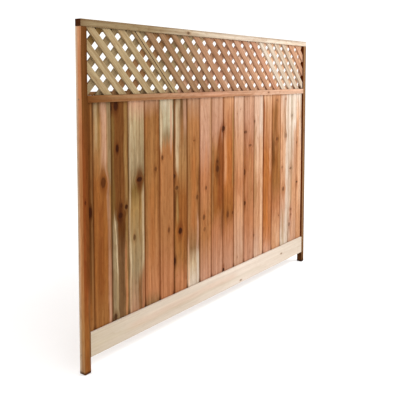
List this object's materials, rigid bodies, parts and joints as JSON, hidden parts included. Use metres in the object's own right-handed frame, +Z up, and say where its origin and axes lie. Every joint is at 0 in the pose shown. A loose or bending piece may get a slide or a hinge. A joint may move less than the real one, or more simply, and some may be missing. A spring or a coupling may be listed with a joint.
{
  "type": "lattice-top fence panel",
  "caption": "Wooden fence panel with square posts as feet, upright tongue-and-groove boards, a pale kickboard, and a diagonal lattice under the cap rail.",
  "frame": {"origin": "bottom centre of the panel, midway between the feet, at the middle of the frame's depth", "axes": "+X along the panel's width to the right as seen from the front, -Y out of the front, +Z up"},
  "size_m": [2.438, 0.041, 1.829],
  "materials": {
    "post_wood": "raw sawn softwood, dry and matte",
    "cap_wood": "raw sawn softwood, dry and matte",
    "mid_rail_wood": "raw sawn softwood, dry and matte",
    "kickboard_wood": "raw sawn softwood, dry and matte",
    "board_brown": "raw sawn softwood, dry and matte",
    "board_olive": "raw sawn softwood, dry and matte",
    "board_orange": "raw sawn softwood, dry and matte",
    "board_cream": "raw sawn softwood, dry and matte",
    "board_pink": "raw sawn softwood, dry and matte",
    "board_tan": "raw sawn softwood, dry and matte",
    "lattice_wood": "raw sawn softwood, dry and matte",
    "hidden_wood": "raw sawn softwood, dry and matte",
    "screw_steel": "zinc-plated and dull on nails and staples, with a dark bronze coat on the screws"
  },
  "bodies": {
    "root": {"left_post": "post_wood", "right_post": "post_wood", "cap_rail": "cap_wood", "mid_rail": "mid_rail_wood", "bottom_rail": "hidden_wood", "kickboard": "kickboard_wood", "starter_strip": "board_brown", "board_01": "board_brown", "board_02": "board_olive", "board_03": "board_olive", "board_04": "board_orange", "board_05": "board_cream", "board_06": "board_tan", "board_07": "board_orange", "board_08": "board_pink", "board_09": "board_pink", "board_10": "board_orange", "board_11": "board_pink", "board_12": "board_tan", "board_13": "board_pink", "board_14": "board_orange", "board_15": "board_brown", "board_16": "board_orange", "board_17": "board_cream", "board_18": "board_pink", "board_cleat_top": "hidden_wood", "board_cleat_bottom": "hidden_wood", "board_cleat_left": "hidden_wood", "board_cleat_right": "hidden_wood", "back_batten": "hidden_wood", "lattice_panel": "lattice_wood", "lattice_stop_top": "hidden_wood", "lattice_stop_bottom": "hidden_wood", "lattice_stop_left": "hidden_wood", "lattice_stop_right": "hidden_wood", "cap_screw_left": "screw_steel", "cap_screw_right": "screw_steel", "mid_rail_screw_left": "screw_steel", "mid_rail_screw_right": "screw_steel", "bottom_rail_screw_left": "screw_steel", "bottom_rail_screw_right": "screw_steel", "kickboard_screw_1": "screw_steel", "kickboard_screw_2": "screw_steel", "kickboard_screw_3": "screw_steel", "kickboard_screw_4": "screw_steel", "kickboard_screw_5": "screw_steel", "kickboard_screw_6": "screw_steel"}
  },
  "joints": []
}
